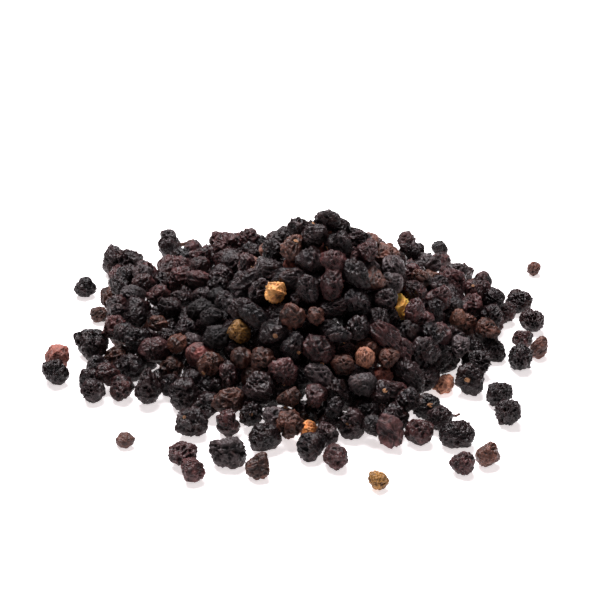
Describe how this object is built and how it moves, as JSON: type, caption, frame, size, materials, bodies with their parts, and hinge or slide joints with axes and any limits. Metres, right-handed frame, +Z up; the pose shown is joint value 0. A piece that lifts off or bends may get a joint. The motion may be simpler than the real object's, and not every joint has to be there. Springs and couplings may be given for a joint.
{
  "type": "heap of dried elderberries",
  "caption": "Poured heap of dried, wrinkled elderberries, near-black with some brown, red, olive and yellow ones, and loose berries lying round its foot.",
  "frame": {"origin": "centre of the whole scatter's bounding box, on the floor", "axes": "+Z is up; -Y is the front, the side the picture was taken from; +X is to the right seen from there"},
  "size_m": [0.0842, 0.0818, 0.0259],
  "materials": {
    "dark_skin": "near-black dried skin, wrinkled into a raised net, dull with small sharp glints on the ridges",
    "brown_skin": "brown dried skin, finely veined, dull",
    "red_skin": "dark reddish dried skin, wrinkled, satin",
    "ochre_skin": "ochre unripe dried skin with darker veins, satin",
    "olive_skin": "olive-green unripe dried skin with darker veins, satin",
    "yellow_skin": "yellow unripe dried skin with darker veins, satin",
    "orange_skin": "orange-brown unripe dried skin, satin"
  },
  "bodies": {
    "root": {"heap": "dark_skin", "berry_ochre_upper": "ochre_skin", "berry_olive_left": "olive_skin", "berry_yellow_right": "yellow_skin", "berry_orange_front": "orange_skin", "berry_brown_seed": "brown_skin", "berry_brown_right": "brown_skin", "berry_brown_middle": "brown_skin", "berry_plum_right": "red_skin", "berry_brown_ridged": "brown_skin", "berry_red_left": "red_skin", "loose_red_far_left": "red_skin", "loose_far_left": "dark_skin", "loose_left_back": "dark_skin", "loose_left_oblong": "dark_skin", "loose_left_brown": "brown_skin", "loose_back_clump": "dark_skin", "loose_back_stalked": "dark_skin", "loose_front_small": "brown_skin", "loose_front_dark": "dark_skin", "loose_front_dark_low": "dark_skin", "loose_front_oblong": "dark_skin", "loose_front_pointed": "brown_skin", "loose_front_left": "dark_skin", "loose_front_left_inner": "dark_skin", "loose_front_middle": "dark_skin", "loose_front_lobed": "dark_skin", "loose_front_lobed_low": "dark_skin", "loose_front_olive": "olive_skin", "loose_front_right": "dark_skin", "loose_right_calyx": "dark_skin", "loose_right_stalked": "dark_skin", "loose_right_flat": "dark_skin", "loose_right_low": "dark_skin", "loose_right_low_brown": "brown_skin", "loose_right_upper": "dark_skin", "loose_right_lower": "dark_skin", "loose_far_right": "dark_skin", "loose_far_right_nub": "brown_skin", "loose_far_back_right": "brown_skin", "loose_back_right": "dark_skin", "loose_back_right_inner": "dark_skin", "loose_back_edge": "dark_skin", "loose_back_edge_inner": "dark_skin", "loose_right_edge": "dark_skin", "loose_right_edge_low": "dark_skin", "loose_right_small": "dark_skin", "loose_right_inner": "dark_skin", "loose_edge_brown": "brown_skin", "loose_edge_dark": "dark_skin"}
  },
  "joints": []
}
